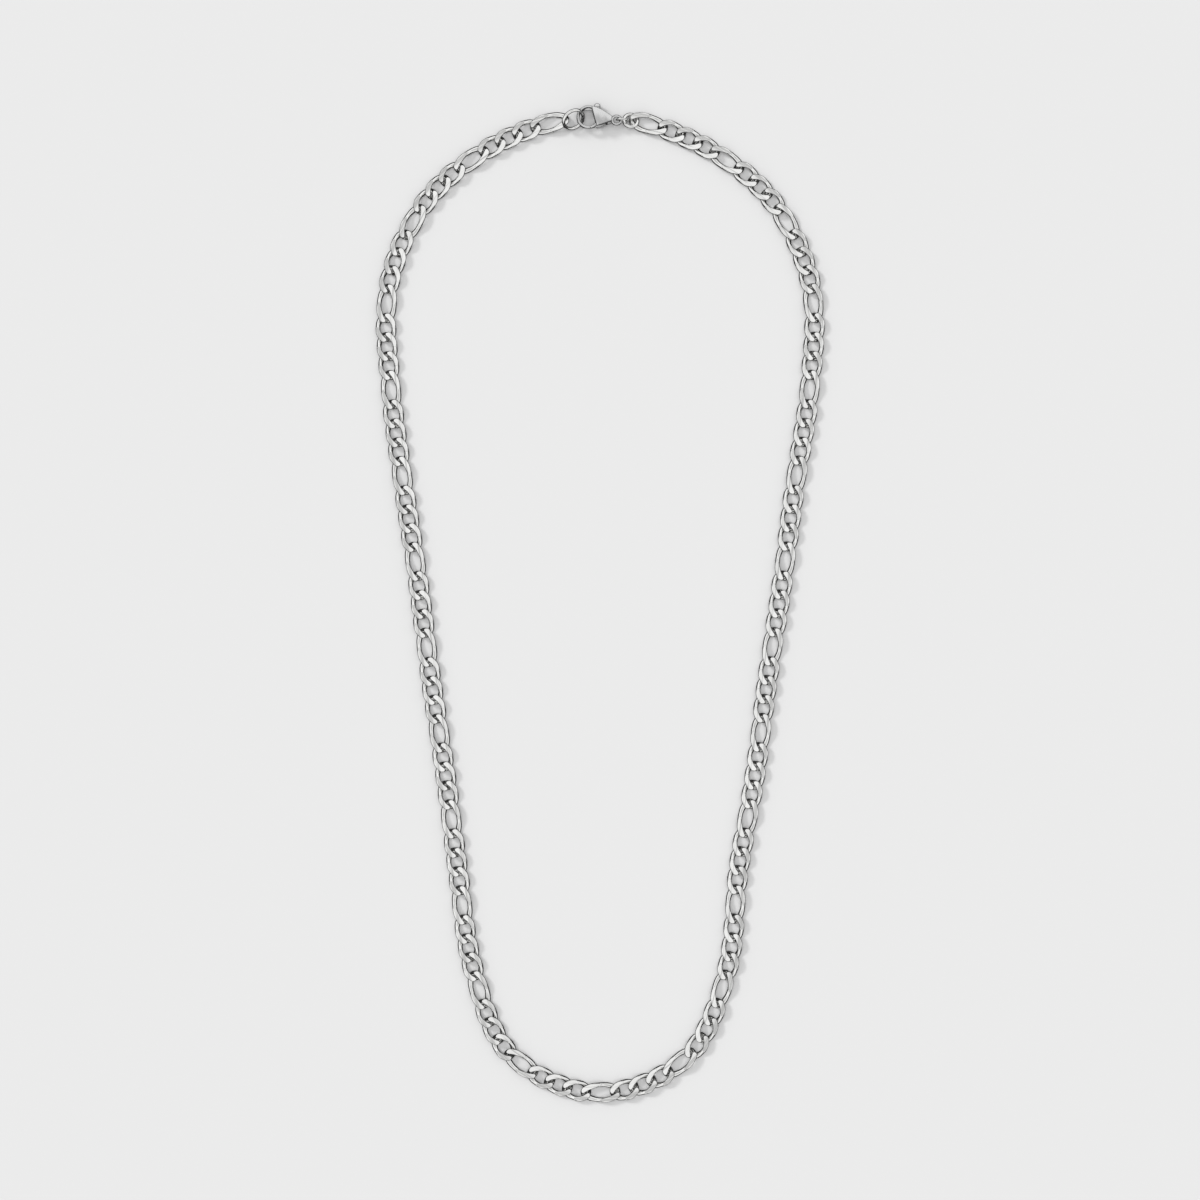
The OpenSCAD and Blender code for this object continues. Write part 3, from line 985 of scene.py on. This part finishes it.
def light_all_round(scene, strength):
    """Soft studio: bright above with a dimmer ring round the top, dark below the horizon.

    The upper left is a little brighter, and a patch below the front lights the clasp's walls.
    """
    world = bpy.data.worlds.new("soft_studio")
    scene.world = world
    world.use_nodes = True
    tree = world.node_tree
    nodes, links = tree.nodes, tree.links
    sky = nodes["Background"]
    sky.inputs["Strength"].default_value = strength
    where = nodes.new("ShaderNodeTexCoord").outputs["Generated"]
    parts = nodes.new("ShaderNodeSeparateXYZ")
    links.new(where, parts.inputs["Vector"])
    height = nodes.new("ShaderNodeValToRGB")
    ramp = height.color_ramp
    for e, (_, grey) in zip(ramp.elements, (SKY[0], SKY[-1])):
        e.color = (grey, grey, grey, 1)
    for from_above, grey in SKY[1:-1]:
        e = ramp.elements.new((math.cos(math.radians(from_above)) + 1) / 2)
        e.color = (grey, grey, grey, 1)
    links.new(carried_over(tree, parts.outputs["Z"], (-1, 1), (0, 1)), height.inputs["Fac"])
    side = carried_over(tree, facing(tree, where, UPPER_LEFT), (-1, 1), SIDE_SHADES)
    patch = carried_over(tree, facing(tree, where, PATCH), PATCH_RANGE, (0, PATCH_LIGHT))
    lit = mixed(tree, "ADD", mixed(tree, "MULTIPLY", height.outputs["Color"], side), patch)
    links.new(lit, sky.inputs["Color"])


class NECK_OT_stage(bpy.types.Operator):
    """Adds the pale floor, the soft light and the camera straight above"""

    bl_idname = "neck.stage"
    bl_label = "Stage"

    def execute(self, context):
        scene = context.scene
        s = scene.neck_stage
        deselect()
        bpy.ops.mesh.primitive_plane_add(size=s.floor_size)
        floor = name_it(context.object, "floor")
        floor.data.materials.append(new_floor_paint(s.floor_colour))
        floor.visible_glossy = False

        light_all_round(scene, s.sky)
        for name, strength, spread, way in LIGHTS:
            deselect()
            bpy.ops.object.light_add(type="SUN", location=(-0.5, 0.5, 0.8))
            lamp = context.object
            lamp.name = name
            lamp.data.energy = getattr(s, strength)
            lamp.data.angle = math.radians(spread)
            lamp.rotation_euler = Vector(way).to_track_quat("-Z", "Y").to_euler()
            lamp.visible_glossy = False

        height = s.view_width * LENS / SENSOR
        bpy.ops.object.camera_add(location=(*s.view_shift, height), rotation=(0, 0, 0))
        camera = context.object
        camera.name = "camera"
        camera.data.lens = LENS
        camera.data.clip_start, camera.data.clip_end = 0.01, 50
        scene.camera = camera
        scene.view_settings.view_transform = "Standard"
        scene.view_settings.look = "None"
        deselect()
        return {"FINISHED"}


# panel and main


class NECK_PT_panel(bpy.types.Panel):
    """Lists the pieces of the neck chain and their sizes"""

    bl_label = "Neck Chain"
    bl_idname = "NECK_PT_panel"
    bl_space_type = "VIEW_3D"
    bl_region_type = "UI"
    bl_category = "Neck Chain"

    def draw(self, context):
        layout, scene = self.layout, context.scene
        for group, ops in GROUPS:
            box = layout.box()
            for key in getattr(scene, group).__annotations__:
                box.prop(getattr(scene, group), key)
            for op in ops:
                box.operator(op)


GROUPS = [
    ("neck_chain", ["neck.links"]),
    ("neck_rings", ["neck.rings"]),
    ("neck_clasp", ["neck.clasp_body", "neck.clasp_lever"]),
    ("neck_finishes", []),
    ("neck_stage", ["neck.stage"]),
]
SIZES = {
    "neck_chain": ChainSizes,
    "neck_rings": RingSizes,
    "neck_clasp": ClaspSizes,
    "neck_finishes": Finishes,
    "neck_stage": StageSizes,
}
CLASSES = [
    *SIZES.values(), NECK_OT_links, NECK_OT_rings, NECK_OT_clasp_body, NECK_OT_clasp_lever,
    NECK_OT_stage, NECK_PT_panel,
]


def register():
    for c in CLASSES:
        bpy.utils.register_class(c)
    for name, group in SIZES.items():
        setattr(bpy.types.Scene, name, PointerProperty(type=group))


def unregister():
    for name in SIZES:
        delattr(bpy.types.Scene, name)
    for c in reversed(CLASSES):
        bpy.utils.unregister_class(c)


def main():
    register()
    bpy.ops.neck.stage()
    bpy.ops.neck.links()
    bpy.ops.neck.rings()
    bpy.ops.neck.clasp_body()
    bpy.ops.neck.clasp_lever()


if __name__ == "__main__":
    main()
